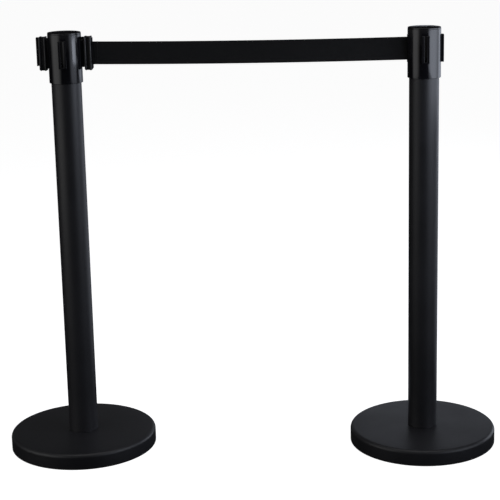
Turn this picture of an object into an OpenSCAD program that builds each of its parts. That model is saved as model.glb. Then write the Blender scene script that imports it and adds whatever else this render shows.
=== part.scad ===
// A pair of retractable belt stanchions, set up side by side.
// The right post's belt is drawn out and docked on the left post; the left post's belt is retracted.
// Origin: on the floor, midway between the posts. +X runs from the left post to the right post,
// -Y is the front and +Z is up. Both heads let their belt out towards -X.

/* [Set-up] */
// Distance between the two post axes, which is how far the belt is drawn out
post_gap = 750; // [450:10:1800]

/* [Post] */
// Height from the floor to the top of the head
total_h = 910; // [860:5:1000]
// Outer diameter of the post tube
tube_d = 63; // [60:0.5:64]
// Wall of the post tube
tube_wall = 1.2; // [1:0.1:2]

/* [Base] */
// Diameter of the base cover
base_d = 317; // [280:1:360]
// Height of the base cover's flat top above the floor
base_h = 34; // [32:1:40]
// Radius of the base cover's rounded upper edge
base_edge_r = 8; // [5:1:10]
// Sheet thickness of the base cover
cover_t = 1.2; // [1:0.1:2]
// Thickness of the cast weight inside the base
weight_t = 11; // [9:1:14]

/* [Head] */
// Outer diameter of the head
head_d = 70; // [69:0.5:74]
// Height of the head, cap included
head_h = 105; // [104:1:115]
// Wall of the head around the cassette
head_wall = 2.2; // [2:0.1:2.4]
// Thickness of the top cap
cap_t = 3; // [2.5:0.5:4]
// Width of each belt receiver across its front
receiver_w = 16; // [15:0.5:18]
// How far each belt receiver stands out from the head
receiver_out = 5.5; // [5:0.1:6]

/* [Belt] */
// Width of the webbing
belt_w = 48; // [44:1:49]
// Thickness of the webbing
belt_t = 0.6; // [0.5:0.1:0.7]
// Full length of the webbing in each head
belt_len = 2000; // [1900:50:2100]
// Distance from the head's top down to the middle of the belt
belt_drop = 44; // [43:0.5:46]
// How far the drawn-out belt sags at mid-span
belt_sag = 2.5; // [0.5:0.5:8]

/* [Clip] */
// Height of the clip at the belt's end
clip_h = 70; // [68:1:74]
// Width of the clip's widest plate
clip_w = 24; // [20:1:28]
// Depth of the clip's body, from the hook plate to the belt side
clip_d = 17; // [16:0.5:18]

/* [Hidden] */
$fn = 96;
SIDES = [["left", -1], ["right", 1]];
POST_PARTS = [
    "floor_ring", "base_weight", "base_cover", "base_washer", "base_bolt", "foot_plug",
    "post_tube", "head_plug", "head_shell", "head_screws", "slot_bezel", "cassette_case",
    "cassette_lid", "cassette_screws", "guide_pin", "spool_shaft", "shaft_clip", "spool_bushes",
    "spool", "spool_flange", "power_spring", "belt_roll", "top_cap", "cap_screws",
    "clip_hook", "clip_cover", "clip_pin", "clip_screws",
];
BELT_PARTS = ["left_belt", "right_belt_near_right", "right_belt_near_left"];

// Colours
steel_black = "#1b1b1d";
plastic_black = "#0e0e10";
webbing_black = "#101012";
rubber_black = "#161616";
zinc = "#b9bcc0";
iron = "#4a4a4c";
spring_steel = "#6d7178";
bush_white = "#e8e6df";

// Fits: gap between parts that move on each other, and between parts that are only put together
running = 0.05;
loose = 0.3;
cut = 1; // how far a cutting shape runs past the face that it cuts

// Base
base_r = base_d / 2;
ring_t = 3;
ring_step = 2;
ring_w = 18.5;
ring_lip_h = 5;
weight_gap = 5.5;
weight_r = base_r - weight_gap;
weight_z = ring_t + ring_step;
weight_boss_r = 36;
bolt_r = 5;
bolt_head_h = 6.4;
bolt_head_r = 9.8;
bolt_head_z = 7;
bolt_len = 35;
washer_r = 12.5;
washer_t = 2;
pocket_r = 14;
pocket_top = bolt_head_z + bolt_head_h + washer_t;

// Post
tube_r = tube_d / 2;
tube_bore = tube_r - tube_wall;
plug_r = tube_bore - 0.1;
foot_plug_h = 12;

// Head, from the bottom up
head_r = head_d / 2;
head_z = total_h - head_h;
cap_z = total_h - cap_t;
head_bore = head_r - head_wall;
skirt_h = 25;
tube_top = head_z + skirt_h;
floor_t = 3;
case_z = tube_top + floor_t;
belt_z = total_h - belt_drop;
head_plug_h = 24;
plug_wall = 3;
plug_top_t = 5;
plug_hole_r = 8;
head_screw_ring = 20;
head_screw_angles = [30, 150, 270];
head_screw_r = 1.9;
head_screw_head_r = 3.6;
head_screw_len = 14;
wall_reach = 8; // depth of the shapes that shape or cut the head's wall, across it
cap_r = head_r - 0.3;
cap_edge = 1;
cap_skirt_h = 7;
cap_skirt_t = 2;
cap_screw_angles = [45, 225];
cap_screw_ring = head_bore - 4.2;
cap_screw_r = 1.25;
cap_screw_head_r = 2.75;
cap_screw_len = 11;
cap_boss_w = 8;
cap_boss_h = 10;

// Cassette
case_r = head_bore - 0.5;
case_wall = 1.8;
case_bore = case_r - case_wall;
case_floor = 2;
spool_gap = 0.5;
flange_t = 2;
spool_z = belt_z - belt_w / 2 - spool_gap - flange_t;
spool_top = belt_z + belt_w / 2 + spool_gap + flange_t;
lid_z = spool_top + spool_gap;
lid_t = 2.5;
spool_at = [2.5, -3];
flange_r = 25;
hub_r = 14;
hub_wall = 1.4;
shaft_r = 4;
shaft_foot = 1.5;
shaft_top = lid_z + lid_t + 1.5;
bush_r = 6;
bush_len = 3;
bush_lip_r = 7.2;
bush_lip_t = 0.4;
boss_r = 7;
boss_top = spool_z - bush_lip_t - 2 * running;
case_screw_ring = 27.5;
case_screw_angles = [100, 200];
case_screw_boss_r = 2.9;
case_screw_r = 1.2;
case_screw_head_r = 2.4;
case_screw_head_h = 1.6;
case_screw_len = 9;
guide_r = 2;
guide_at = [-27.8, guide_r + belt_t / 2 + running];
slot_w = 4;
slot_h = belt_w + 1.5;
bezel_w = 11;
bezel_h = belt_w + 9;
bezel_corner = 2;
bezel_out = 1;
bezel_neck = 1.5;
bezel_neck_gap = 0.1;
opening_w = bezel_w - 3;
opening_h = bezel_h - 5;
opening_corner = 1;
clip_groove = 0.9;
shaft_clip_r = 6.5;

// Power spring, a flat strip wound inside the spool's hub
spring_t = 0.35;
spring_turns = 8;
spring_in_r = 5.2;
spring_out_r = hub_r - hub_wall - spring_t - 0.1;
spring_h = belt_w - 8;
spring_steps = 16;

// Receivers and the hook that slides down into them
receiver_h = belt_w + 9;
receiver_floor = 3;
receiver_round = 1.5;
receiver_embed = 0.5;
receiver_z = belt_z - receiver_h / 2;
undercut_w = 11.4;
undercut_in = 0.3;
lip_t = 2;
mouth_w = 5;
hook_gap = 0.9;
hook_plate_t = 3;
hook_neck_w = 3.8;
hook_head_w = undercut_w - 1;
hook_head_t = 2.6;
hook_reach = hook_gap + receiver_out - undercut_in - loose;
hook_top = clip_h / 2 - 1;
hook_foot = -receiver_h / 2 + receiver_floor;
clip_core_w = 15;
clip_split = 9;
collar_t = 2;
collar_w = 12;
cover_plate_t = 3;
pin_r = 1.5;
pin_len = belt_w + 5;
loop_r = pin_r + 0.1 + belt_t;
pocket_gap = 0.4;
clip_screw_z = 30;
clip_screw_r = 1.5;
clip_screw_len = 12;
clip_screw_head_r = 2.8;
clip_screw_sink = 1.5;
clip_round = 1.2;
grip_bead_r = 2.2;

// Where the clips stand, given as the place of the hook plate's inner face
docked_x = -post_gap / 2 + head_r + receiver_out + hook_gap;
retracted_x = -post_gap / 2 - head_r - bezel_out - clip_d;
span_from = post_gap / 2 - head_r - 2;
span_to = docked_x + clip_d;
span_steps = 12;

// The roll on a spool: the webbing left on it sets its radius
function roll_r(wound) = sqrt(hub_r * hub_r + wound * belt_t / PI);
wound_left = belt_len - (head_r + clip_d);
wound_right = belt_len - (span_from - span_to) - head_r - clip_d;

// The belt leaves the roll at a tangent, bends round the guide pin and runs straight out at y = 0.
// feed_angle is the direction of the stretch between the roll and the guide pin.
function feed_line_r(roll) = roll + belt_t / 2 + running;
function feed_angle(roll) =
    let (d = guide_at - spool_at)
    atan2(d[1], d[0]) + asin((feed_line_r(roll) + guide_at[1]) / norm(d));
function leave_point(roll) =
    spool_at + feed_line_r(roll) * [sin(feed_angle(roll)), -cos(feed_angle(roll))];
function bend_x(roll) =
    leave_point(roll)[0] - leave_point(roll)[1] / tan(feed_angle(roll));

// The z of the drawn-out belt's middle line, from t = 0 at the right head to t = 1 at the clip
function sag_z(t) = belt_z - 4 * belt_sag * t * (1 - t);
function span_x(t) = span_from + (span_to - span_from) * t;

module at_post(side) {
    translate([side * post_gap / 2, 0, 0]) children();
}

module at_spool(z) {
    translate([spool_at[0], spool_at[1], z]) children();
}

module ring(outer, inner, h) {
    difference() {
        cylinder(r = outer, h = h);
        translate([0, 0, -cut]) cylinder(r = inner, h = h + 2 * cut);
    }
}

// A rectangle with true round corners, centred
module round_rect(w, h, r) {
    square([w - 2 * r, h], center = true);
    square([w, h - 2 * r], center = true);
    for (x = [-1, 1], y = [-1, 1]) {
        translate([x * (w / 2 - r), y * (h / 2 - r)]) circle(r = r);
    }
}

// A box given by its lowest and highest corners
module block(low, high) {
    translate(low) cube(high - low);
}

// ---- Base ----

module floor_ring() {
    color(rubber_black)
        rotate_extrude()
            polygon([
                [base_r - ring_w, 0],
                [base_r - 1, 0],
                [base_r, 1],
                [base_r, ring_t],
                [base_r - cover_t - loose, ring_t],
                [base_r - cover_t - loose, ring_t + ring_lip_h],
                [weight_r + loose, ring_t + ring_lip_h],
                [weight_r + loose, weight_z],
                [base_r - ring_w, weight_z],
            ]);
}

module base_weight() {
    chamfer = 1.5;
    color(iron)
        difference() {
            rotate_extrude()
                polygon([
                    [0, weight_z],
                    [weight_r - chamfer, weight_z],
                    [weight_r, weight_z + chamfer],
                    [weight_r, weight_z + weight_t - chamfer],
                    [weight_r - chamfer, weight_z + weight_t],
                    [weight_boss_r + chamfer, weight_z + weight_t],
                    [weight_boss_r, weight_z + weight_t + chamfer],
                    [weight_boss_r, base_h - cover_t],
                    [0, base_h - cover_t],
                ]);
            translate([0, 0, weight_z - cut]) cylinder(r = pocket_r, h = pocket_top - weight_z + cut);
            cylinder(r = bolt_r + 0.5, h = base_h);
        }
}

// Half section of a pressed cover: flat top, round edge and straight rim, down to z
module cover_section(r, top, edge, z) {
    translate([0, z]) square([r - edge, top - z]);
    translate([0, z]) square([r, top - edge - z]);
    translate([r - edge, top - edge]) circle(r = edge);
}

module base_cover() {
    color(steel_black)
        difference() {
            rotate_extrude()
                difference() {
                    cover_section(base_r, base_h, base_edge_r, ring_t);
                    cover_section(base_r - cover_t, base_h - cover_t, base_edge_r - cover_t, 0);
                }
            cylinder(r = bolt_r + 0.5, h = base_h + cut);
        }
}

module base_washer() {
    color(zinc)
        translate([0, 0, pocket_top - washer_t]) ring(washer_r, bolt_r + 0.3, washer_t);
}

module base_bolt() {
    color(zinc)
        translate([0, 0, bolt_head_z]) {
            cylinder(r = bolt_head_r, h = bolt_head_h, $fn = 6);
            cylinder(r = bolt_r, h = bolt_head_h + bolt_len);
        }
}

module foot_plug() {
    color(iron)
        translate([0, 0, base_h]) ring(plug_r, bolt_r + running, foot_plug_h);
}

// ---- Post ----

module post_tube() {
    color(steel_black)
        translate([0, 0, base_h]) ring(tube_r, tube_bore, tube_top - base_h);
}

module head_plug() {
    color(plastic_black)
        translate([0, 0, tube_top - head_plug_h])
            difference() {
                cylinder(r = plug_r, h = head_plug_h);
                translate([0, 0, -cut])
                    cylinder(r = plug_r - plug_wall, h = head_plug_h - plug_top_t + cut);
                cylinder(r = plug_hole_r, h = head_plug_h + cut);
                head_screw_places() cylinder(r = head_screw_r + running, h = head_plug_h + cut);
            }
}

module head_screw_places() {
    for (angle = head_screw_angles) rotate(angle) translate([head_screw_ring, 0, 0]) children();
}

// A countersunk screw, with its flat top at z = 0 and pointing down
module countersunk_screw(r, len, head_r) {
    head = head_r - r;
    difference() {
        union() {
            translate([0, 0, -len]) cylinder(r = r, h = len);
            translate([0, 0, -head]) cylinder(r1 = r, r2 = head_r, h = head);
        }
        for (turn = [0, 90]) {
            rotate(turn) block([-head_r * 0.55, -r * 0.2, -head * 0.7], [head_r * 0.55, r * 0.2, cut]);
        }
    }
}

module countersink(r, head_r, depth) {
    head = head_r - r;
    translate([0, 0, -depth]) cylinder(r = r + running, h = depth + cut);
    translate([0, 0, -head]) cylinder(r1 = r + running, r2 = head_r + running, h = head);
    cylinder(r = head_r + running, h = cut);
}

module head_screws() {
    color(zinc)
        head_screw_places()
            translate([0, 0, case_z]) countersunk_screw(head_screw_r, head_screw_len, head_screw_head_r);
}

// ---- Head ----

// A receiver points along +X here: a raised block with a T slot, open at the top
module receiver_block() {
    middle = head_r + receiver_out - wall_reach / 2;
    translate([0, 0, receiver_z])
        linear_extrude(receiver_h)
            difference() {
                translate([middle, 0]) round_rect(wall_reach, receiver_w, receiver_round);
                circle(r = head_bore + receiver_embed);
            }
}

module receiver_slot() {
    undercut = head_r + undercut_in;
    lip = head_r + receiver_out - lip_t;
    z = receiver_z + receiver_floor;
    top = receiver_z + receiver_h + cut;
    block([undercut, -undercut_w / 2, z], [lip, undercut_w / 2, top]);
    block([undercut, -mouth_w / 2, z], [head_r + receiver_out + cut, mouth_w / 2, top]);
}

module receiver_places() {
    for (angle = [-90, 0, 90]) rotate(angle) children();
}

module cap_screw_places() {
    for (angle = cap_screw_angles) rotate(angle) translate([cap_screw_ring, 0, 0]) children();
}

// A rounded shape that runs across the head's wall at the belt slot
module across_slot(h, w, corner) {
    translate([-head_r, 0, belt_z])
        rotate([0, 90, 0])
            linear_extrude(wall_reach, center = true) round_rect(h, w, corner);
}

module head_shell() {
    color(plastic_black)
        difference() {
            union() {
                difference() {
                    translate([0, 0, head_z]) cylinder(r = head_r, h = cap_z - head_z);
                    translate([0, 0, case_z]) cylinder(r = head_bore, h = head_h);
                    translate([0, 0, head_z - cut]) cylinder(r = tube_r + 0.1, h = skirt_h + cut);
                }
                receiver_places() receiver_block();
                for (angle = cap_screw_angles) {
                    rotate(angle)
                        block([head_bore - cap_boss_w, -cap_boss_w / 2, cap_z - cap_boss_h],
                            [head_bore + 1, cap_boss_w / 2, cap_z]);
                }
            }
            receiver_places() receiver_slot();
            across_slot(opening_h, opening_w, opening_corner);
            head_screw_places()
                translate([0, 0, case_z]) countersink(head_screw_r, head_screw_head_r, floor_t + cut);
            cap_screw_places()
                translate([0, 0, total_h - cap_screw_len - cut])
                    cylinder(r = cap_screw_r + running, h = cap_screw_len);
        }
}

module slot_bezel() {
    overlap = 0.1;
    neck_h = opening_h - 2 * bezel_neck_gap;
    neck_w = opening_w - 2 * bezel_neck_gap;
    color(plastic_black)
        difference() {
            union() {
                intersection() {
                    translate([0, 0, belt_z - bezel_h / 2]) ring(head_r + bezel_out, head_r, bezel_h);
                    across_slot(bezel_h, bezel_w, bezel_corner);
                }
                intersection() {
                    translate([0, 0, belt_z - bezel_h / 2])
                        ring(head_r + overlap, head_r - bezel_neck, bezel_h);
                    across_slot(neck_h, neck_w, opening_corner - bezel_neck_gap);
                }
            }
            across_slot(slot_h, slot_w, opening_corner);
        }
}

module top_cap() {
    overlap = 0.5;
    skirt_r = head_bore - 0.2;
    notch_w = cap_boss_w + 2;
    notch_h = cap_boss_h - 1;
    color(plastic_black)
        difference() {
            union() {
                rotate_extrude() {
                    translate([0, cap_z]) square([cap_r - cap_edge, cap_t]);
                    translate([0, cap_z]) square([cap_r, cap_t - cap_edge]);
                    translate([cap_r - cap_edge, total_h - cap_edge]) circle(r = cap_edge);
                }
                difference() {
                    translate([0, 0, cap_z - cap_skirt_h])
                        ring(skirt_r, skirt_r - cap_skirt_t, cap_skirt_h + overlap);
                    rotate(cap_screw_angles[0])
                        block([-head_r, -notch_w / 2, cap_z - notch_h], [head_r, notch_w / 2, cap_z]);
                }
            }
            cap_screw_places()
                translate([0, 0, total_h])
                    countersink(cap_screw_r + 0.25, cap_screw_head_r + 0.25, cap_t + cut);
        }
}

module cap_screws() {
    color(zinc)
        cap_screw_places()
            translate([0, 0, total_h]) countersunk_screw(cap_screw_r, cap_screw_len, cap_screw_head_r);
}

// ---- Cassette ----

module case_screw_places() {
    for (angle = case_screw_angles) rotate(angle) translate([case_screw_ring, 0, 0]) children();
}

module cassette_case() {
    color(plastic_black)
        difference() {
            union() {
                difference() {
                    translate([0, 0, case_z]) cylinder(r = case_r, h = lid_z - case_z);
                    translate([0, 0, case_z + case_floor]) cylinder(r = case_bore, h = lid_z - case_z);
                }
                intersection() {
                    translate([0, 0, case_z]) cylinder(r = case_r, h = lid_z - case_z);
                    case_screw_places()
                        translate([0, 0, case_z]) cylinder(r = case_screw_boss_r, h = lid_z - case_z);
                }
                at_spool(case_z) cylinder(r = boss_r, h = boss_top - case_z);
            }
            case_screw_places()
                translate([0, 0, lid_z + lid_t - case_screw_len - cut])
                    cylinder(r = case_screw_r, h = case_screw_len);
            at_spool(case_z + shaft_foot) cylinder(r = shaft_r, h = belt_w);
            translate([guide_at[0], guide_at[1], case_z + case_floor / 2])
                cylinder(r = guide_r, h = belt_w);
            block([-head_r, -4, belt_z - slot_h / 2], [-case_bore + 2, 6, belt_z + slot_h / 2]);
        }
}

module cassette_lid() {
    color(plastic_black)
        translate([0, 0, lid_z])
            difference() {
                cylinder(r = case_r, h = lid_t);
                translate([spool_at[0], spool_at[1], -cut]) cylinder(r = shaft_r, h = lid_t + 2 * cut);
                translate([guide_at[0], guide_at[1], -cut]) cylinder(r = guide_r, h = cut + 1.5);
                case_screw_places()
                    translate([0, 0, -cut]) cylinder(r = case_screw_r + 0.2, h = lid_t + 2 * cut);
            }
}

module cassette_screws() {
    color(zinc)
        case_screw_places()
            translate([0, 0, lid_z + lid_t]) {
                translate([0, 0, -case_screw_len]) cylinder(r = case_screw_r, h = case_screw_len);
                cylinder(r = case_screw_head_r, h = case_screw_head_h);
            }
}

module guide_pin() {
    color(zinc)
        translate([guide_at[0], guide_at[1], case_z + case_floor / 2])
            cylinder(r = guide_r, h = lid_z + 1.5 - case_z - case_floor / 2);
}

module spool_shaft() {
    color(zinc)
        difference() {
            at_spool(case_z + shaft_foot) cylinder(r = shaft_r, h = shaft_top + 1 - case_z - shaft_foot);
            at_spool(lid_z + lid_t) ring(shaft_r + cut, shaft_r - 1, clip_groove);
            at_spool(belt_z - spring_h / 2 - 1)
                block([-0.4, -shaft_r - cut, 0], [0.4, 0, spring_h + 2]);
        }
}

module shaft_clip() {
    color(spring_steel)
        at_spool(lid_z + lid_t)
            difference() {
                ring(shaft_clip_r, shaft_r - 1, clip_groove);
                block([0, -1.8, -cut], [8, 1.8, 2]);
            }
}

module spool_bushes() {
    color(bush_white)
        at_spool(0) {
            translate([0, 0, spool_z]) ring(bush_r, shaft_r + running, bush_len);
            translate([0, 0, spool_z - bush_lip_t]) ring(bush_lip_r, shaft_r + running, bush_lip_t);
            translate([0, 0, spool_top - bush_len]) ring(bush_r, shaft_r + running, bush_len);
            translate([0, 0, spool_top]) ring(bush_lip_r, shaft_r + running, bush_lip_t);
        }
}

module spool() {
    color(plastic_black)
        at_spool(spool_z) {
            ring(flange_r, bush_r, flange_t);
            translate([0, 0, flange_t - 0.5])
                ring(hub_r, hub_r - hub_wall, spool_top - spool_z - 2 * flange_t + 0.5);
        }
}

module spool_flange() {
    rib_h = 3;
    color(plastic_black)
        at_spool(spool_top - flange_t) {
            ring(flange_r, bush_r, flange_t);
            translate([0, 0, -rib_h]) ring(hub_r - hub_wall - running, bush_r, rib_h + 0.5);
        }
}

// The strip starts in the shaft's slot, winds outwards and ends against the hub
module power_spring() {
    step = 360 / spring_steps;
    last = spring_turns * spring_steps;
    rise = (spring_out_r - spring_in_r) / last;
    tail = -shaft_r + 2.5;
    function on_spiral(i, r) = (r + rise * i) * [cos(step * i - 90), sin(step * i - 90)];
    inner = [for (i = [0 : last]) on_spiral(i, spring_in_r)];
    outer = [for (i = [last : -1 : 0]) on_spiral(i, spring_in_r + spring_t)];
    inner_end = [[-spring_t, -spring_in_r - spring_t], [-spring_t, tail]];
    color(spring_steel)
        at_spool(belt_z - spring_h / 2)
            linear_extrude(spring_h)
                polygon(concat([[0, tail]], inner, outer, inner_end));
}

module belt_roll(wound) {
    color(webbing_black)
        at_spool(belt_z - belt_w / 2) ring(roll_r(wound), hub_r + running, belt_w);
}

// ---- Belt ----

// The stretch from the roll, round the guide pin and out along y = 0 to x = end, in the head's own frame
module belt_feed(wound, end) {
    roll = roll_r(wound);
    angle = feed_angle(roll);
    across = [sin(angle), -cos(angle)] * belt_t / 2;
    start = leave_point(roll);
    bend = [bend_x(roll), 0];
    miter = [tan((angle - 180) / 2), 1] * belt_t / 2;
    translate([0, 0, belt_z - belt_w / 2])
        linear_extrude(belt_w)
            polygon([
                start + across,
                start - across,
                bend - miter,
                [end, -belt_t / 2],
                [end, belt_t / 2],
                bend + miter,
            ]);
}

// The belt's end: a straight stretch into the clip and a loop sewn round the clip's pin at x = pin
module belt_end(from, pin) {
    translate([0, 0, belt_z - belt_w / 2]) {
        block([pin + loop_r - belt_t, -belt_t / 2, 0], [from, belt_t / 2, belt_w]);
        translate([pin, 0, 0]) ring(loop_r, loop_r - belt_t, belt_w);
    }
}

module belt_span(t0, t1) {
    ts = [for (i = [0 : span_steps]) t0 + (t1 - t0) * i / span_steps];
    top = [for (t = ts) [span_x(t), sag_z(t) + belt_w / 2]];
    bottom = [for (i = [span_steps : -1 : 0]) [span_x(ts[i]), sag_z(ts[i]) - belt_w / 2]];
    translate([0, belt_t / 2, 0])
        rotate([90, 0, 0])
            linear_extrude(belt_t) polygon(concat(top, bottom));
}

module left_belt() {
    gone = -head_r - 2;
    color(webbing_black)
        at_post(-1) {
            belt_feed(wound_left, gone);
            belt_end(gone, retracted_x + post_gap / 2 + clip_split);
        }
}

module right_belt_near_right() {
    color(webbing_black) {
        at_post(1) belt_feed(wound_right, span_from - post_gap / 2);
        belt_span(0, 0.5);
    }
}

module right_belt_near_left() {
    color(webbing_black) {
        belt_span(0.5, 1);
        belt_end(span_to, docked_x + clip_split);
    }
}

// ---- Clip ----
// The clip's own frame: x = 0 is the hook plate's inner face, the hook points to -X, and z = 0
// is the middle of the belt.

module clip_cavity() {
    translate([clip_split, 0, -slot_h / 2]) cylinder(r = loop_r + pocket_gap, h = slot_h);
    translate([clip_split, 0, -pin_len / 2]) cylinder(r = pin_r, h = pin_len);
    block([clip_split, -1, -slot_h / 2], [clip_d + cut, 1, slot_h / 2]);
}

module clip_screw_places() {
    for (z = [-clip_screw_z, clip_screw_z]) {
        translate([clip_d - collar_t, 0, z]) rotate([0, 90, 0]) children();
    }
}

// A grip plate in plan, w across and t thick from x = 0, with a bead along each of its ends
module grip_plate(t, w) {
    translate([t / 2, 0]) round_rect(t, w, clip_round);
    for (y = [-1, 1]) {
        translate([grip_bead_r, y * (w / 2 - grip_bead_r)]) circle(r = grip_bead_r);
    }
}

module clip_hook() {
    chamfer = 3;
    color(plastic_black)
        difference() {
            union() {
                translate([0, 0, -clip_h / 2])
                    linear_extrude(clip_h) {
                        grip_plate(hook_plate_t, clip_w);
                        translate([hook_plate_t - 1, -clip_core_w / 2])
                            square([clip_split - hook_plate_t + 1, clip_core_w]);
                    }
                block([-hook_reach + 1, -hook_neck_w / 2, hook_foot], [1, hook_neck_w / 2, hook_top]);
                block([-hook_reach, -hook_head_w / 2, hook_foot],
                    [hook_head_t - hook_reach, hook_head_w / 2, hook_top]);
            }
            clip_cavity();
            clip_screw_places()
                translate([0, 0, -clip_screw_len]) cylinder(r = clip_screw_r, h = clip_screw_len);
            translate([0, 0, -clip_h / 2])
                rotate([0, 45, 0])
                    cube([chamfer, clip_w + 2, chamfer], center = true);
        }
}

module clip_cover() {
    color(plastic_black)
        difference() {
            union() {
                translate([0, 0, -clip_h / 2])
                    linear_extrude(clip_h) {
                        translate([clip_split, -clip_core_w / 2])
                            square([clip_d - collar_t - clip_split, clip_core_w]);
                        translate([clip_d - collar_t, 0])
                            mirror([1, 0]) grip_plate(cover_plate_t, clip_w - 1);
                    }
                translate([clip_d - collar_t - 1, -collar_w / 2, -clip_h / 2 + 3])
                    cube([collar_t + 1, collar_w, clip_h - 6]);
            }
            clip_cavity();
            clip_screw_places() {
                translate([0, 0, -clip_screw_len]) cylinder(r = clip_screw_r + 0.1, h = clip_screw_len);
                translate([0, 0, -clip_screw_sink])
                    cylinder(r = clip_screw_head_r + loose, h = clip_screw_sink + collar_t + cut);
            }
        }
}

module clip_pin() {
    color(zinc)
        translate([clip_split, 0, -pin_len / 2]) cylinder(r = pin_r, h = pin_len);
}

module clip_screws() {
    color(zinc)
        clip_screw_places() {
            translate([0, 0, 1 - clip_screw_len]) cylinder(r = clip_screw_r, h = clip_screw_len - 1);
            translate([0, 0, -clip_screw_sink])
                cylinder(r = clip_screw_head_r, h = clip_screw_sink + loose);
        }
}

// ---- Both stanchions ----

for (side = SIDES) {
    name = side[0];
    clip_x = name == "left" ? retracted_x : docked_x;
    wound = name == "left" ? wound_left : wound_right;
    at_post(side[1]) {
        floor_ring();
        base_weight();
        base_cover();
        base_washer();
        base_bolt();
        foot_plug();
        post_tube();
        head_plug();
        head_shell();
        head_screws();
        slot_bezel();
        cassette_case();
        cassette_lid();
        cassette_screws();
        guide_pin();
        spool_shaft();
        shaft_clip();
        spool_bushes();
        spool();
        spool_flange();
        power_spring();
        belt_roll(wound);
        top_cap();
        cap_screws();
    }
    translate([clip_x, 0, belt_z]) {
        clip_hook();
        clip_cover();
        clip_pin();
        clip_screws();
    }
}

left_belt();
right_belt_near_right();
right_belt_near_left();
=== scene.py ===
# %% [markdown]
# # A pair of retractable belt stanchions
#
# Two black posts stand on round weighted bases. The right post's belt is drawn out of its head and
# hooked into the left head; the left post's own belt is wound in, with its clip at the slot.
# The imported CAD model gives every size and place. The cells below dress it: the parts that can be
# seen are modelled again with rounded edges and fine detail, and every part gets a real finish.

# %% Load the frame
import math

import bmesh
import bpy
from mathutils import Matrix, Vector


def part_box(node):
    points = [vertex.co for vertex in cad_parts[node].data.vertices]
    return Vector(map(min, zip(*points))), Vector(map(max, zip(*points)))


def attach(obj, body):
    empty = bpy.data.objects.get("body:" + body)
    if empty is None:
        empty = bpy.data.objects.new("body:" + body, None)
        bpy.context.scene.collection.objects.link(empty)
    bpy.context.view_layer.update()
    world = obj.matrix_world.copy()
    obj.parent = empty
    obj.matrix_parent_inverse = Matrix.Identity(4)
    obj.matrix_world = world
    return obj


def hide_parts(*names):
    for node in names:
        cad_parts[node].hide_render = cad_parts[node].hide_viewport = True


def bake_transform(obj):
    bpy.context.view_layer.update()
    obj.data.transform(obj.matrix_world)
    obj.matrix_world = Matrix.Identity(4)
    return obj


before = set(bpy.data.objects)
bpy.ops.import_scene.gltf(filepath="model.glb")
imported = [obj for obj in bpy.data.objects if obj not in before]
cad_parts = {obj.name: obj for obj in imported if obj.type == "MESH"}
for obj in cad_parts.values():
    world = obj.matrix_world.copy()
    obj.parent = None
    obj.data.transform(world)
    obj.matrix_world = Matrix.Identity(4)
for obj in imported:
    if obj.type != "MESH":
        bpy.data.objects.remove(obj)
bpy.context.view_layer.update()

mm = 0.001
SIDES = ("left", "right")

# %% [markdown]
# ## Where things are
#
# A maker measures the frame before cutting anything.

# %% Measure the frame
def corners(node):
    low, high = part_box(node)
    return Vector(low), Vector(high)


def middle(node):
    low, high = corners(node)
    return (low + high) / 2


post_x = {side: middle(f"{side}_post_tube").x for side in SIDES}
post_gap = post_x["right"] - post_x["left"]
belt_z = middle("right_clip_hook").z
print("post axes", post_x, "belt height", round(belt_z, 4))

# %% [markdown]
# ## Camera
#
# The view is from a standing person's eye, a little above the heads and a few metres away, so the
# tops look almost flat and the bases show as wide ellipses. A long lens keeps both posts nearly
# parallel. The lens is shifted a little sideways, as on a view camera, because the two posts don't
# lean towards the middle of the picture alike.

# %% Place the camera
SENSOR = 36.0  # sensor width in mm


def add_camera(place, turn, dip, roll, focal, shift):
    """turn is to the right of +Y, dip is below the horizon, both in radians; focal is in picture widths."""
    data = bpy.data.cameras.new("camera")
    camera = bpy.data.objects.new("camera", data)
    bpy.context.scene.collection.objects.link(camera)
    ahead = Vector((math.sin(turn) * math.cos(dip), math.cos(turn) * math.cos(dip), -math.sin(dip)))
    level = Vector((math.cos(turn), -math.sin(turn), 0))
    right = level * math.cos(roll) + level.cross(ahead) * math.sin(roll)
    basis = Matrix((right, right.cross(ahead), -ahead)).transposed()
    camera.matrix_world = Matrix.Translation(place) @ basis.to_4x4()
    data.lens = focal * SENSOR
    data.sensor_width = SENSOR
    data.shift_x, data.shift_y = shift
    data.clip_end = 100
    bpy.context.scene.camera = camera


add_camera(
    place=(0.1253, -3.05, 1.2312),
    turn=-0.0151,
    dip=0.2314,
    roll=-0.0168,
    focal=2.928,
    shift=(-0.07, -0.07),
)

# %% [markdown]
# ## Floor and light
#
# Black objects are drawn by what they reflect, so the lights are large soft panels: one on each side
# for the long streaks on the round posts, low ones behind and on the floor for the bases and the
# posts' feet, and darkness where the camera stands. A small panel beside the right head gives its one
# bright reflection, and a black card behind the heads keeps their caps dark. The camera sees a pale
# floor and white paper behind it, but both are dim in reflections, as with black cloth on a set.

# %% Add the floor, the lights and the surroundings
FLOOR_SIZE = 60.0
COOL = "#e2e9f8"  # daylight from the right is a little bluer than the lamps on the left
ROOM_GLOW = 0.1  # how bright the room and the floor look in reflections
chest = Vector((0, 0, 0.55))
right_head = Vector((post_x["right"], 0, belt_z))


def linear(hex_colour):
    """An sRGB colour such as "#1b1b1d", as the linear colour that shaders and lights take."""
    channels = [int(hex_colour[i : i + 2], 16) / 255 for i in (1, 3, 5)]
    return [c / 12.92 if c <= 0.04045 else ((c + 0.055) / 1.055) ** 2.4 for c in channels] + [1.0]


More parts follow.
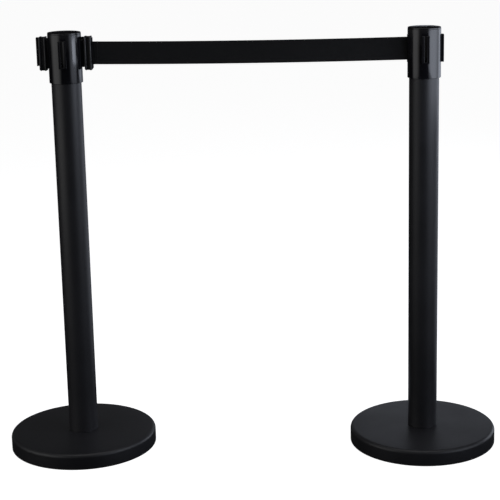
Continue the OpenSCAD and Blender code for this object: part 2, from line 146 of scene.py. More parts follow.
def add_panel(name, place, aim, size, glow, spread=180, soft=(0.5, 0.5), colour="#ffffff", dim=0.05):
    """A light panel of (width, height) metres that faces the aim point. glow is its brightness, with white
    paper as 1. spread in degrees narrows its beam. soft is the share of its width that fades at each
    side, and dim is what is left of the glow there."""
    data = bpy.data.lights.new(name, "AREA")
    data.shape = "RECTANGLE"
    data.size, data.size_y = size
    data.energy = glow * math.pi * size[0] * size[1]
    data.color = linear(colour)[:3]
    data.spread = math.radians(spread)
    panel = bpy.data.objects.new(name, data)
    bpy.context.scene.collection.objects.link(panel)
    panel.location = place
    panel.rotation_euler = (Vector(aim) - Vector(place)).to_track_quat("-Z", "Y").to_euler()
    panel.visible_camera = False
    data.use_nodes = True
    tree = data.node_tree
    lamp = tree.nodes["Emission"]
    across = tree.nodes.new("ShaderNodeSeparateXYZ")
    tree.links.new(tree.nodes.new("ShaderNodeNewGeometry").outputs["Parametric"], across.inputs[0])
    fade = tree.nodes.new("ShaderNodeValToRGB")
    fade.color_ramp.interpolation = "EASE"
    dark, bright = fade.color_ramp.elements
    dark.color = (dim, dim, dim, 1)
    bright.position = max(soft[0], 0.001)
    if soft[1] > 0:
        full = fade.color_ramp.elements.new(min(1 - soft[1], 0.999))
        full.color = (1, 1, 1, 1)
        fade.color_ramp.elements.new(1.0).color = (dim, dim, dim, 1)
    tree.links.new(across.outputs["X"], fade.inputs["Fac"])
    tree.links.new(fade.outputs["Color"], lamp.inputs["Strength"])


def camera_split(tree, seen, reflected, out):
    """The camera sees one shader, and every other ray the other."""
    path = tree.nodes.new("ShaderNodeLightPath")
    mix = tree.nodes.new("ShaderNodeMixShader")
    tree.links.new(path.outputs["Is Camera Ray"], mix.inputs[0])
    tree.links.new(reflected.outputs[0], mix.inputs[1])
    tree.links.new(seen, mix.inputs[2])
    tree.links.new(mix.outputs[0], out.inputs["Surface"])


bpy.ops.object.select_all(action="DESELECT")
bpy.ops.mesh.primitive_plane_add(size=FLOOR_SIZE, location=(0, 0, -0.0005))
floor = bpy.context.object
floor.name = "floor"
paper = bpy.data.materials.new("floor_paper")
paper.use_nodes = True
tree = paper.node_tree
matt = tree.nodes["Principled BSDF"]
matt.inputs["Base Color"].default_value = linear("#e6e6e6")
matt.inputs["Roughness"].default_value = 1.0
matt.inputs["Emission Color"].default_value = linear("#ffffff")
matt.inputs["Emission Strength"].default_value = 0.9
cloth = tree.nodes.new("ShaderNodeBsdfDiffuse")
cloth.inputs["Color"].default_value = linear("#3c3c3c")
camera_split(tree, matt.outputs[0], cloth, tree.nodes["Material Output"])
floor.data.materials.append(paper)

bpy.ops.object.select_all(action="DESELECT")
bpy.ops.mesh.primitive_plane_add(size=1, location=(0, 2.2, 1.5), rotation=(math.radians(90), 0, 0))
card = bpy.context.object
card.name = "black_card"
card.scale = (5, 1.1, 1)
card.visible_camera = False
card.visible_shadow = False
black = bpy.data.materials.new("black_card_paper")
black.use_nodes = True
black.node_tree.nodes["Principled BSDF"].inputs["Base Color"].default_value = linear("#0a0a0a")
black.node_tree.nodes["Principled BSDF"].inputs["Roughness"].default_value = 1.0
card.data.materials.append(black)

world = bpy.data.worlds.new("room")
bpy.context.scene.world = world
world.use_nodes = True
room = world.node_tree
white = room.nodes["Background"]
white.inputs["Color"].default_value = linear("#ffffff")
dim = room.nodes.new("ShaderNodeBackground")
dim.inputs["Strength"].default_value = ROOM_GLOW
camera_split(room, white.outputs[0], dim, room.nodes["World Output"])

add_panel("left_panel", (-1.95, -1.0, 0.9), chest, (3.2, 1.8), 0.9, soft=(0.4, 0.4))
add_panel("right_panel", (1.95, -0.95, 0.9), chest, (3.2, 1.8), 1.2, soft=(0.3, 0.4), colour=COOL)
add_panel("back_panel", (0.6, 1.7, 0.6), (0.6, 0, 0.3), (2.6, 0.8), 0.45, colour=COOL)
add_panel("back_right_panel", (2.6, 1.9, 0.7), (0, 0, 0.4), (2.2, 1.4), 1.8, soft=(0.1, 0.1), colour=COOL)
add_panel("top_panel", (0, -0.3, 3.0), chest, (3.0, 2.0), 0.8, soft=(0.1, 0.1))
beside = right_head + Vector((0, -0.075, -0.06))
shine = beside + Vector((0.27, -0.15, 0.02))
add_panel("head_panel", shine, beside + Vector((0, -0.15, 0)), (0.76, 0.24), 3.0, 140, (0, 0.8), COOL, 0.25)
add_panel("front_floor_panel", (0, -1.3, 0.01), (0, -1.3, 1), (3.2, 1.6), 0.1, soft=(0.2, 0.2), colour=COOL)
add_panel("floor_panel", (1.5, 1.3, 0.01), (1.5, 1.3, 1), (2.8, 2.2), 0.6, soft=(0.2, 0.0), colour=COOL)
bpy.context.scene.view_settings.view_transform = "Standard"

# %% [markdown]
# ## Materials
#
# Each finish starts from the real one. One helper adds a shader node with its settings and links.
# `surface` gives what most finishes share: a base colour that wanders between two shades in broad
# patches, a roughness that wanders with it, and a fine grain that dents the light.

# %% Node helper and the shared surface recipe
def add(tree, kind, inputs=None, **settings):
    """Adds a node. inputs maps a socket to a number or colour, or to another node's output."""
    made = tree.nodes.new("ShaderNode" + kind)
    for key, value in settings.items():
        setattr(made, key, value)
    for key, value in (inputs or {}).items():
        if isinstance(value, bpy.types.NodeSocket):
            tree.links.new(value, made.inputs[key])
        else:
            made.inputs[key].default_value = value
    return made


def surface(name, shades, roughness, patch, grain, depth, fixed=None, warp=(1, 1, 1)):
    """A finish between two shades and two roughnesses, in patches of `patch` mm, with a grain of `grain` mm
    that is `depth` mm deep. fixed sets the shader's own sockets, and warp stretches the grain."""
    material = bpy.data.materials.new(name)
    material.use_nodes = True
    tree = material.node_tree
    shader = tree.nodes["Principled BSDF"]
    place = add(tree, "TexCoord").outputs["Object"]
    broad = add(tree, "TexNoise", {"Vector": place, "Scale": 1 / (patch * mm), "Detail": 4, "Roughness": 0.6})
    colour = add(tree, "ValToRGB", {"Fac": broad.outputs["Fac"]})
    colour.color_ramp.elements[0].position = 0.3
    colour.color_ramp.elements[1].position = 0.7
    colour.color_ramp.elements[0].color = linear(shades[0])
    colour.color_ramp.elements[1].color = linear(shades[1])
    rough = add(
        tree,
        "MapRange",
        {
            "Value": broad.outputs["Fac"],
            "From Min": 0.3,
            "From Max": 0.7,
            "To Min": roughness[0],
            "To Max": roughness[1],
        },
    )
    stretched = add(tree, "Mapping", {"Vector": place, "Scale": warp})
    spread = stretched.outputs["Vector"]
    fine = add(tree, "TexNoise", {"Vector": spread, "Scale": 1 / (grain * mm), "Detail": 3})
    bump = add(tree, "Bump", {"Height": fine.outputs["Fac"], "Distance": depth * mm, "Strength": 1.0})
    tree.links.new(colour.outputs["Color"], shader.inputs["Base Color"])
    tree.links.new(rough.outputs["Result"], shader.inputs["Roughness"])
    tree.links.new(bump.outputs["Normal"], shader.inputs["Normal"])
    for socket, value in (fixed or {}).items():
        shader.inputs[socket].default_value = value
    return material


# %% [markdown]
# ### Painted, moulded and cast finishes
#
# Powder coat on steel is satin with a fine orange peel. The moulded ABS of the head is glossy and
# almost flat. The clips are a little less polished, so their edges shine softly. Cast iron, rubber
# and zinc plating are only seen from below or through the slots, but they are finished as well.

# %% Make the plain finishes
finishes = {
    "black_powder_coat": surface(
        "satin_powder_coated_steel", ("#1a1a1d", "#212125"), (0.38, 0.48), 140, 0.9, 0.012, {"IOR": 1.5}
    ),
    "black_abs": surface(
        "glossy_moulded_abs", ("#0f0f12", "#151519"), (0.11, 0.15), 45, 6.0, 0.004, {"IOR": 1.53}
    ),
    "matt_plastic": surface(
        "satin_moulded_abs", ("#151517", "#1c1c1f"), (0.26, 0.34), 20, 0.45, 0.008, {"IOR": 1.53}
    ),
    "inner_plastic": surface(
        "moulded_polypropylene", ("#1a1a1c", "#232326"), (0.45, 0.55), 25, 0.8, 0.02, {"IOR": 1.49}
    ),
    "floor_rubber": surface(
        "moulded_rubber", ("#121212", "#1b1b1b"), (0.75, 0.9), 30, 0.6, 0.05, {"IOR": 1.52}
    ),
    "cast_iron": surface(
        "sand_cast_iron", ("#2c2a29", "#454341"), (0.6, 0.8), 18, 1.4, 0.25, {"Metallic": 0.7}
    ),
    "zinc_steel": surface(
        "zinc_plated_steel", ("#9da3ab", "#c4c8cc"), (0.28, 0.42), 6, 0.3, 0.01, {"Metallic": 1.0}
    ),
    "bare_steel": surface(
        "turned_steel", ("#8b8d90", "#a5a7aa"), (0.25, 0.35), 8, 0.5, 0.02, {"Metallic": 1.0}, (0.1, 0.1, 4)
    ),
    "spring_steel": surface(
        "blued_spring_steel", ("#3c424c", "#59606a"), (0.25, 0.4), 10, 0.5, 0.01, {"Metallic": 1.0}
    ),
    "black_screws": surface(
        "black_oxide_steel", ("#17181a", "#26272a"), (0.3, 0.45), 3, 0.25, 0.01, {"Metallic": 0.6}
    ),
    "white_bush": surface(
        "acetal", ("#dedbd2", "#ebe8e0"), (0.35, 0.45), 8, 0.6, 0.01, {"IOR": 1.48}
    ),
}
print("finishes", sorted(finishes))

# %% [markdown]
# ### Webbing
#
# The belt is black polyester, woven in a plain rib: threads about half a millimetre apart run along
# it, and the cross threads pass over and under them. From a few metres that reads as an even matt
# black with a soft sheen. The pattern is two wave textures multiplied, laid on the belt's length (X)
# and height (Z), so the threads keep their real spacing however far the belt is drawn out.
# The same pattern paints shade into the colour: darker between the threads, lighter on their crowns.

# %% Make the webbing and the sewing thread
THREAD = 0.9  # mm between ribs, drawn about twice as coarse as the real thread so that it shows


def woven(name, shades, roughness, thread, depth):
    """Webbing with threads `thread` mm apart that stand `depth` mm proud."""
    soft_cloth = {"IOR": 1.5, "Specular IOR Level": 0.3, "Sheen Weight": 0.04}
    material = surface(name, shades, roughness, 35, 0.4, 0.02, soft_cloth)
    tree = material.node_tree
    shader = tree.nodes["Principled BSDF"]
    grain = shader.inputs["Normal"].links[0].from_socket
    colour = shader.inputs["Base Color"].links[0].from_socket
    place = add(tree, "TexCoord").outputs["Object"]
    waves = math.tau / (thread * mm) / 20  # a wave texture of scale s has 20 s / 2 pi bands in a metre
    ribs = add(tree, "TexWave", {"Vector": place, "Scale": waves}, bands_direction="Z")
    picks = add(tree, "TexWave", {"Vector": place, "Scale": waves}, bands_direction="X")
    cloth = add(tree, "Math", {0: ribs.outputs["Fac"], 1: picks.outputs["Fac"]}, operation="MULTIPLY")
    height = cloth.outputs["Value"]
    bump = add(tree, "Bump", {"Height": height, "Distance": depth * mm, "Strength": 1.0, "Normal": grain})
    # Painted shade: colour times 0.7 in the gaps between threads; painted highlight: times 1.1 on the crowns.
    weave_gap_shade = add(tree, "MapRange", {"Value": cloth.outputs["Value"], "To Min": 0.7, "To Max": 1.1})
    shaded_weave_colour = add(tree, "VectorMath", {0: colour, 1: weave_gap_shade.outputs["Result"]}, operation="MULTIPLY")
    tree.links.new(shaded_weave_colour.outputs["Vector"], shader.inputs["Base Color"])
    tree.links.new(bump.outputs["Normal"], shader.inputs["Normal"])
    return material


finishes["webbing"] = woven(
    "woven_polyester_webbing", ("#08080a", "#0c0c0f"), (0.65, 0.78), THREAD, 0.12
)
finishes["thread"] = surface(
    "bonded_nylon_thread", ("#17171a", "#222226"), (0.45, 0.6), 4, 0.3, 0.03, {"IOR": 1.53}
)

# %% [markdown]
# ## Modelling helpers
#
# Most of a stanchion is turned or pressed round, so its maker draws half of a section and spins it.
# `lathe` does the same: one vertex is extruded along the outline, and the line is spun once round the
# post's axis. `block` makes a cube with rounded edges, and `combine` joins or cuts two pieces with an
# exact Boolean. Every piece ends with its place in its mesh and its edges shaded by angle.

# %% Define the modelling helpers
TURN_STEPS = 128
SMOOTH_ANGLE = math.radians(35)


def only(piece):
    """Selects one piece and makes it active."""
    bpy.ops.object.select_all(action="DESELECT")
    piece.select_set(True)
    bpy.context.view_layer.objects.active = piece
    return piece


def settle(piece, name=None):
    """Puts the piece's place, turn and size into its mesh, and shades it smooth up to a sharp edge."""
    only(piece)
    bpy.ops.object.transform_apply(location=True, rotation=True, scale=True)
    bpy.ops.object.shade_smooth_by_angle(angle=SMOOTH_ANGLE)
    if name:
        piece.name = name
        print(name, len(piece.data.polygons), "faces")
    return piece


def arc(centre, radius, start, end, steps=6):
    """Points of (radius, height) round a corner, from one angle in degrees to another."""
    turns = [math.radians(start + (end - start) * i / steps) for i in range(steps + 1)]
    return [(centre[0] + radius * math.cos(t), centre[1] + radius * math.sin(t)) for t in turns]


def lathe(axis, outline, steps=TURN_STEPS):
    """Spins an outline of (radius, height) points in mm round a vertical axis at (x, y) in metres."""
    radius, height = outline[0]
    bpy.ops.object.select_all(action="DESELECT")
    bpy.ops.mesh.primitive_plane_add(size=mm, location=(axis[0] + radius * mm, axis[1], height * mm))
    bpy.ops.object.mode_set(mode="EDIT")
    bpy.ops.mesh.merge(type="CENTER")
    for (r0, z0), (r1, z1) in zip(outline, outline[1:]):
        step = ((r1 - r0) * mm, 0, (z1 - z0) * mm)
        bpy.ops.mesh.extrude_vertices_move(TRANSFORM_OT_translate={"value": step})
    bpy.ops.mesh.select_all(action="SELECT")
    bpy.ops.mesh.spin(steps=steps, angle=math.tau, center=(axis[0], axis[1], 0), axis=(0, 0, 1))
    bpy.ops.mesh.select_all(action="SELECT")
    bpy.ops.mesh.remove_doubles(threshold=0.002 * mm)
    bpy.ops.mesh.normals_make_consistent(inside=False)
    bpy.ops.object.mode_set(mode="OBJECT")
    return settle(bpy.context.object)


def pick_edges(piece, test):
    """In edit mode, selects the edges whose two ends pass the test."""
    sheet = bmesh.from_edit_mesh(piece.data)
    bpy.ops.mesh.select_all(action="DESELECT")
    for edge in sheet.edges:
        edge.select_set(test(edge.verts[0].co, edge.verts[1].co))
    bmesh.update_edit_mesh(piece.data)


def block(low, high, upright=0.0, rest=0.0):
    """A cube between two corners in metres. upright and rest are the edge radii in mm."""
    low, high = Vector(low), Vector(high)
    bpy.ops.object.select_all(action="DESELECT")
    bpy.ops.mesh.primitive_cube_add(size=1, location=(low + high) / 2)
    bpy.context.object.scale = high - low
    piece = settle(bpy.context.object)
    bpy.ops.object.mode_set(mode="EDIT")
    if upright:
        pick_edges(piece, lambda a, b: abs(a.z - b.z) > abs(a.x - b.x) + abs(a.y - b.y))
        bpy.ops.mesh.bevel(offset=upright * mm, segments=4)
    if rest:
        top, foot = high.z - 1e-6, low.z + 1e-6
        pick_edges(piece, lambda a, b: min(a.z, b.z) > top or max(a.z, b.z) < foot)
        bpy.ops.mesh.bevel(offset=rest * mm, segments=3)
    bpy.ops.object.mode_set(mode="OBJECT")
    return settle(piece)


def combine(piece, other, how):
    """how is UNION, DIFFERENCE or INTERSECT. The other piece is used up."""
    only(piece)
    step = piece.modifiers.new("combine", "BOOLEAN")
    step.operation, step.object, step.solver = how, other, "EXACT"
    bpy.ops.object.modifier_apply(modifier=step.name)
    bpy.data.objects.remove(other)
    return piece


def soften(piece, width, angle=50, segments=2):
    """Rounds every edge that is sharper than the angle."""
    only(piece)
    step = piece.modifiers.new("soften", "BEVEL")
    step.width, step.segments, step.angle_limit = width * mm, segments, math.radians(angle)
    step.harden_normals = False
    bpy.ops.object.modifier_apply(modifier=step.name)
    return piece


def spun(piece, degrees, axis_x):
    """Turns a piece about the post's axis."""
    turn = Matrix.Rotation(math.radians(degrees), 4, "Z")
    piece.data.transform(Matrix.Translation((axis_x, 0, 0)) @ turn @ Matrix.Translation((-axis_x, 0, 0)))
    return piece


def joined(pieces):
    """Makes one piece of several, under the first one's name."""
    only(pieces[0])
    for piece in pieces[1:]:
        piece.select_set(True)
    bpy.ops.object.join()
    return pieces[0]


def copied(piece, name, move):
    """A copy with its own mesh, moved by a vector in metres."""
    only(piece)
    bpy.ops.object.duplicate(linked=False)
    twin = bpy.context.object
    twin.location = Vector(move)
    return settle(twin, name)


def dress(piece, finish, body, *nodes):
    """Gives a piece its finish, rides it on a body, and hides the CAD nodes that it stands for."""
    piece.data.materials.clear()
    piece.data.materials.append(finishes[finish])
    if body:
        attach(piece, body)
    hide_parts(*nodes)


def for_both(piece, part, finish, node):
    """Dresses the right post's piece, and a copy of it moved to the left post."""
    piece.name = f"right_{part}"
    pair = {"right": piece, "left": copied(piece, f"left_{part}", (-post_gap, 0, 0))}
    for side in SIDES:
        dress(pair[side], finish, f"{side}_post", f"{side}_{node}")


# %% [markdown]
# ## Base
#
# The base is a pressed steel cover over a cast iron weight, standing on a rubber ring. The cover is a
# section with a broad round at its edge, spun once. Its flat top falls a third of a millimetre towards
# the rim, as a pressing does, and its rim is turned in at the foot.

# %% Model the base cover and the floor ring
axis = (post_x["right"], 0)
cover_low, cover_high = corners("right_base_cover")
base_r = (cover_high.x - cover_low.x) / 2 / mm
base_top = cover_high.z / mm
EDGE_R = 8.0
SHEET = 1.2
BOLT_HOLE_R = 5.6
LEVEL_R = 30.0  # the top is level out to here, under the tube
SLOPE_END = 30.0  # how far in from the rim's round the top has fallen by FALL
FALL = 0.05
RIM_FALL = 0.3
rim_foot = cover_low.z / mm
slope_r = base_r - EDGE_R - SLOPE_END
outer = [(BOLT_HOLE_R, base_top), (LEVEL_R, base_top), (slope_r, base_top - FALL)]
outer += arc((base_r - EDGE_R, base_top - EDGE_R - RIM_FALL), EDGE_R, 90, 0, 12)
outer += [(base_r, rim_foot + 1.2)] + arc((base_r - 0.6, rim_foot + 0.6), 0.6, 0, -180, 6)
inner = [(base_r - SHEET, rim_foot + 0.9)]
inner += arc((base_r - EDGE_R, base_top - EDGE_R - RIM_FALL), EDGE_R - SHEET, 0, 90, 12)
inner += [(slope_r, base_top - FALL - SHEET), (LEVEL_R, base_top - SHEET), (BOLT_HOLE_R, base_top - SHEET)]
cover = lathe(axis, outer + inner + [outer[0]])
for_both(cover, "pressed_base", "black_powder_coat", "base_cover")

ring_top = corners("right_floor_ring")[1].z / mm
RING_IN = base_r - 18.5
GROOVE_PITCH = 3.2
GROOVE_DEPTH = 0.8
foot = [(RING_IN, 0.6)] + arc((RING_IN + 0.6, 0.6), 0.6, 180, 270, 3)
for groove in range(4):
    start = RING_IN + (groove + 1) * GROOVE_PITCH
    foot += [(start, 0), (start + 0.3, GROOVE_DEPTH), (start + 0.9, GROOVE_DEPTH), (start + 1.2, 0)]
foot += arc((base_r - 1, 1), 1, -90, 0, 4) + [(base_r, 2.6)] + arc((base_r - 0.4, 2.6), 0.4, 0, 90, 3)
foot += [(base_r - 1.5, 3), (base_r - 1.5, ring_top - 0.3), (base_r - 1.8, ring_top)]
foot += [(base_r - 4.9, ring_top)]
foot += [(base_r - 5.2, ring_top - 0.3), (base_r - 5.2, 5), (RING_IN, 5), (RING_IN, 0.6)]
ring = lathe(axis, foot)
for_both(ring, "rubber_ring", "floor_rubber", "floor_ring")
print("base", round(base_r, 2), "mm in radius and", round(base_top, 2), "mm high")

# %% [markdown]
# ## Post tube
#
# A plain welded tube, powder coated. The wall is real, so that the top edge inside the head's skirt
# and the foot on the cover are both right. The ends are broken by a small chamfer.

# %% Model the post tube
tube_low, tube_high = corners("right_post_tube")
tube_r = (tube_high.x - tube_low.x) / 2 / mm
foot_z, top_z = tube_low.z / mm, tube_high.z / mm
WALL = 1.2
CHAMFER = 0.35
section = [
    (tube_r - WALL, foot_z + CHAMFER),
    (tube_r - WALL + CHAMFER, foot_z),
    (tube_r - CHAMFER, foot_z),
    (tube_r, foot_z + CHAMFER),
    (tube_r, top_z - CHAMFER),
    (tube_r - CHAMFER, top_z),
    (tube_r - WALL + CHAMFER, top_z),
    (tube_r - WALL, top_z - CHAMFER),
    (tube_r - WALL, foot_z + CHAMFER),
]
tube = lathe(axis, section)
for_both(tube, "steel_tube", "black_powder_coat", "post_tube")

# %% [markdown]
# ## Head
#
# The head is one ABS moulding: a cup with a skirt that slides over the tube, a floor, and three belt
# receivers on its front, its back and its outer side. The cup is spun. A receiver is a rounded block
# with a T-shaped slot, open at the top; it is made once and turned to its three places. The belt slot
# in the fourth side is cut through the wall.

# %% Model the head moulding
head_low, head_high = corners("right_head_shell")
HEAD_R = 35.0
BORE_R = 32.8
SKIRT_R = tube_r + 0.1
CUP_FLOOR = 3.0
head_foot = head_low.z / mm
head_top = head_high.z / mm
belt_mm = belt_z / mm
shell = arc((SKIRT_R + 0.5, head_foot + 0.5), 0.5, 180, 270, 3)
shell += arc((HEAD_R - 0.8, head_foot + 0.8), 0.8, -90, 0, 5)
shell += arc((HEAD_R - 0.5, head_top - 0.5), 0.5, 0, 90, 4)
shell += [(BORE_R, head_top), (BORE_R, top_z + CUP_FLOOR), (2, top_z + CUP_FLOOR), (2, top_z)]
shell += [(SKIRT_R, top_z), shell[0]]
head = lathe(axis, shell)

RECEIVER_W = 16.0
RECEIVER_OUT = 5.5
RECEIVER_H = 57.0
RECEIVER_FLOOR = 3.0
UNDERCUT_W = 11.4
MOUTH_W = 5.0
LIP = 2.0
SLOT_IN = 0.3
EMBED = 1.8
rx = post_x["right"]
receiver_foot = (belt_mm - RECEIVER_H / 2) * mm
receiver_top = (belt_mm + RECEIVER_H / 2) * mm
out_x = rx + (HEAD_R + RECEIVER_OUT) * mm
receiver = block(
    (rx + (HEAD_R - EMBED) * mm, -RECEIVER_W / 2 * mm, receiver_foot),
    (out_x, RECEIVER_W / 2 * mm, receiver_top),
    upright=1.5,
    rest=0.6,
)
slot_foot = receiver_foot + RECEIVER_FLOOR * mm
past = 5 * mm
undercut_in = rx + (HEAD_R + SLOT_IN) * mm
undercut = block(
    (undercut_in, -UNDERCUT_W / 2 * mm, slot_foot),
    (out_x - LIP * mm, UNDERCUT_W / 2 * mm, receiver_top + past),
)
mouth = block(
    (undercut_in, -MOUTH_W / 2 * mm, slot_foot),
    (out_x + past, MOUTH_W / 2 * mm, receiver_top + past),
)
combine(receiver, undercut, "DIFFERENCE")
combine(receiver, mouth, "DIFFERENCE")
soften(receiver, 0.25, 60)
for turn in (-90, 0, 90):
    one = spun(copied(receiver, "receiver_copy", (0, 0, 0)), turn, rx)
    combine(head, one, "UNION")
bpy.data.objects.remove(receiver)

BELT_SLOT_H = 52.0
BELT_SLOT_W = 8.0
slot_cut = block(
    (rx - (HEAD_R + 4) * mm, -BELT_SLOT_W / 2 * mm, (belt_mm - BELT_SLOT_H / 2) * mm),
    (rx - (HEAD_R - 4) * mm, BELT_SLOT_W / 2 * mm, (belt_mm + BELT_SLOT_H / 2) * mm),
)
combine(head, slot_cut, "DIFFERENCE")
settle(head, "right_moulded_head")
for_both(head, "moulded_head", "black_abs", "head_shell")

# %% [markdown]
# ### Slot bezel
#
# A thin frame snaps into the belt slot and keeps the webbing off the head's edge. It follows the
# head's curve, so it is a slice of a tube, trimmed by a rounded block and pierced by another.

# %% Model the slot bezel
BEZEL_W = 11.0
BEZEL_H = 57.0
BEZEL_OUT = 1.0
BEZEL_NECK = 1.5
slice_ring = lathe(
    axis,
    [(HEAD_R - 0.05, belt_mm - BEZEL_H / 2 - 2), (HEAD_R + BEZEL_OUT, belt_mm - BEZEL_H / 2 - 2)]
    + [(HEAD_R + BEZEL_OUT, belt_mm + BEZEL_H / 2 + 2), (HEAD_R - 0.05, belt_mm + BEZEL_H / 2 + 2)]
    + [(HEAD_R - 0.05, belt_mm - BEZEL_H / 2 - 2)],
)


def slot_block(width, height, corner, depth):
    """A block that points out along -X at the belt slot, with its four long edges rounded."""
    low = (rx - (HEAD_R + depth) * mm, -width / 2 * mm, (belt_mm - height / 2) * mm)
    high = (rx - (HEAD_R - depth) * mm, width / 2 * mm, (belt_mm + height / 2) * mm)
    made = block(low, high)
    bpy.ops.object.mode_set(mode="EDIT")
    pick_edges(made, lambda a, b: abs(a.x - b.x) > abs(a.y - b.y) + abs(a.z - b.z))
    bpy.ops.mesh.bevel(offset=corner * mm, segments=5)
    bpy.ops.object.mode_set(mode="OBJECT")
    return made


combine(slice_ring, slot_block(BEZEL_W, BEZEL_H, 2, 4), "INTERSECT")
neck = slot_block(BELT_SLOT_W - 0.2, BELT_SLOT_H - 0.2, 0.9, 4)
neck_ring = lathe(
    axis,
    [(HEAD_R - BEZEL_NECK, belt_mm - BEZEL_H / 2), (HEAD_R + 0.5, belt_mm - BEZEL_H / 2)]
    + [(HEAD_R + 0.5, belt_mm + BEZEL_H / 2), (HEAD_R - BEZEL_NECK, belt_mm + BEZEL_H / 2)]
    + [(HEAD_R - BEZEL_NECK, belt_mm - BEZEL_H / 2)],
)
combine(neck, neck_ring, "INTERSECT")
combine(slice_ring, neck, "UNION")
combine(slice_ring, slot_block(4.0, 49.5, 1, 6), "DIFFERENCE")
soften(slice_ring, 0.3, 60)
bezel = settle(slice_ring, "right_slot_frame")
for_both(bezel, "slot_frame", "black_abs", "slot_bezel")

# %% [markdown]
# ### Top cap
#
# The cap is a spun disc with a soft edge and a hairline gap to the head below it, which catches a
# thin line of light. Two countersunk screws hold it, and each has a cross recess for the driver.

# %% Model the cap and its screws
CAP_R = HEAD_R - 0.3
CAP_EDGE = 1.0
cap_top = corners("right_top_cap")[1].z / mm
cap_foot = head_top + 0.02
plate = [(0, cap_foot), (CAP_R - 0.35, cap_foot)] + arc((CAP_R - 0.35, cap_foot + 0.35), 0.35, -90, 0, 3)
plate += arc((CAP_R - CAP_EDGE, cap_top - CAP_EDGE), CAP_EDGE, 0, 90, 6) + [(0, cap_top)]
cap = lathe(axis, plate)
lip_out = BORE_R - 0.2
lip = lathe(
    axis,
    [(lip_out - 2, cap_foot + 0.5), (lip_out, cap_foot + 0.5), (lip_out, cap_foot - 6.4)]
    + [(lip_out - 0.6, cap_foot - 7), (lip_out - 2, cap_foot - 7), (lip_out - 2, cap_foot + 0.5)],
)
gap = block((rx - 40 * mm, -5 * mm, (cap_foot - 12) * mm), (rx + 40 * mm, 5 * mm, cap_foot * mm))
combine(lip, spun(gap, 45, rx), "DIFFERENCE")
combine(cap, lip, "UNION")

SCREW_RING = 28.6
SCREW_ANGLES = (45, 225)
SHANK_R = 1.25
SHANK_LEN = 11.0
ROOT_R = 1.0


def on_ring(radius, degrees):
    """The place in metres on a ring of the radius in mm round the post's axis."""
    angle = math.radians(degrees)
    return rx + radius * mm * math.cos(angle), radius * mm * math.sin(angle)


def cross_recess(at, top, span, width, depth):
    """Two crossed blocks that cut a driver recess into a screw whose top is at `top` metres."""
    made = block(
        (at[0] - span / 2 * mm, at[1] - width / 2 * mm, top - depth * mm),
        (at[0] + span / 2 * mm, at[1] + width / 2 * mm, top + mm),
    )
    other = block(
        (at[0] - width / 2 * mm, at[1] - span / 2 * mm, top - depth * mm),
        (at[0] + width / 2 * mm, at[1] + span / 2 * mm, top + mm),
    )
    return combine(made, other, "UNION")


cap_screws = []
for angle in SCREW_ANGLES:
    at = on_ring(SCREW_RING, angle)
    seat = [(0, cap_foot - 1), (1.6, cap_foot - 1), (1.6, cap_top - 1.45), (3.05, cap_top)]
    seat += [(3.05, cap_top + 1), (0, cap_top + 1)]
    combine(cap, lathe(at, seat, 40), "DIFFERENCE")
    shank = [(0, cap_top - SHANK_LEN), (0.9, cap_top - 10.6), (SHANK_R, cap_top - 10)]
    for thread in range(8):
        z = cap_top - 10 + thread
        shank += [(ROOT_R, z + 0.2), (SHANK_R, z + 0.5), (SHANK_R, z + 0.6), (ROOT_R, z + 0.9)]
    shank += [(SHANK_R, cap_top - 1.55), (2.65, cap_top - 0.15), (2.7, cap_top - 0.05)]
    shank += [(2.6, cap_top), (0, cap_top)]
    screw = lathe(at, shank, 40)
    combine(screw, cross_recess(at, cap_top * mm, 3.0, 0.6, 1.1), "DIFFERENCE")
    cap_screws.append(screw)
cap_screws = joined(cap_screws)
settle(cap, "right_cap_disc")
settle(cap_screws, "right_cap_fixings")
for_both(cap, "cap_disc", "black_abs", "top_cap")
for_both(cap_screws, "cap_fixings", "black_screws", "cap_screws")

# %% [markdown]
# ## Clip
#
# The clip is two matt mouldings screwed together round a pin, with the belt's sewn loop between them.
# The hook half has a wide grip plate and a T-shaped hook; the cover half has a second plate and a
# collar where the belt comes out. Each is built from rounded blocks in the clip's own frame: X is out
# of the hook plate towards the belt, and the middle of the belt is the zero height.

# %% Model the two halves of the clip
hook_low, hook_high = corners("right_clip_hook")
cover_out = corners("right_clip_cover")[1].x
CLIP_DEPTH = 17.0
clip_origin = Vector((cover_out - CLIP_DEPTH * mm, 0, belt_z))
CLIP_HALF_H = (hook_high.z - hook_low.z) / 2 / mm
PLATE_W = 24.0
COVER_W = 23.0
CORE_W = 15.0
SPLIT = 9.0
COLLAR_W = 12.0
HOOK_REACH = (clip_origin.x - hook_low.x) / mm
HOOK_FOOT = -25.5
PIN_R = 1.5
SLIT_HALF_H = 24.75
BEAD_R = 2.2


def clip_block(low, high, upright=0.0, rest=0.0):
    """A rounded block between two corners in mm from the clip's origin."""
    return block(clip_origin + Vector(low) * mm, clip_origin + Vector(high) * mm, upright, rest)


def clip_rod(x, radius, half_height):
    """An upright rod of the clip's own measures in mm."""
    foot, top = belt_mm - half_height, belt_mm + half_height
    return lathe((clip_origin.x + x * mm, 0), [(0, foot), (radius, foot), (radius, top), (0, top)], 48)


def hollow(half):
    """Cuts the room for the belt's loop, the pin and the belt."""
    combine(half, clip_rod(SPLIT, 2.6, SLIT_HALF_H), "DIFFERENCE")
    combine(half, clip_rod(SPLIT, PIN_R, 26.5), "DIFFERENCE")
    combine(half, clip_block((SPLIT, -1, -SLIT_HALF_H), (CLIP_DEPTH + 2, 1, SLIT_HALF_H)), "DIFFERENCE")
    return half


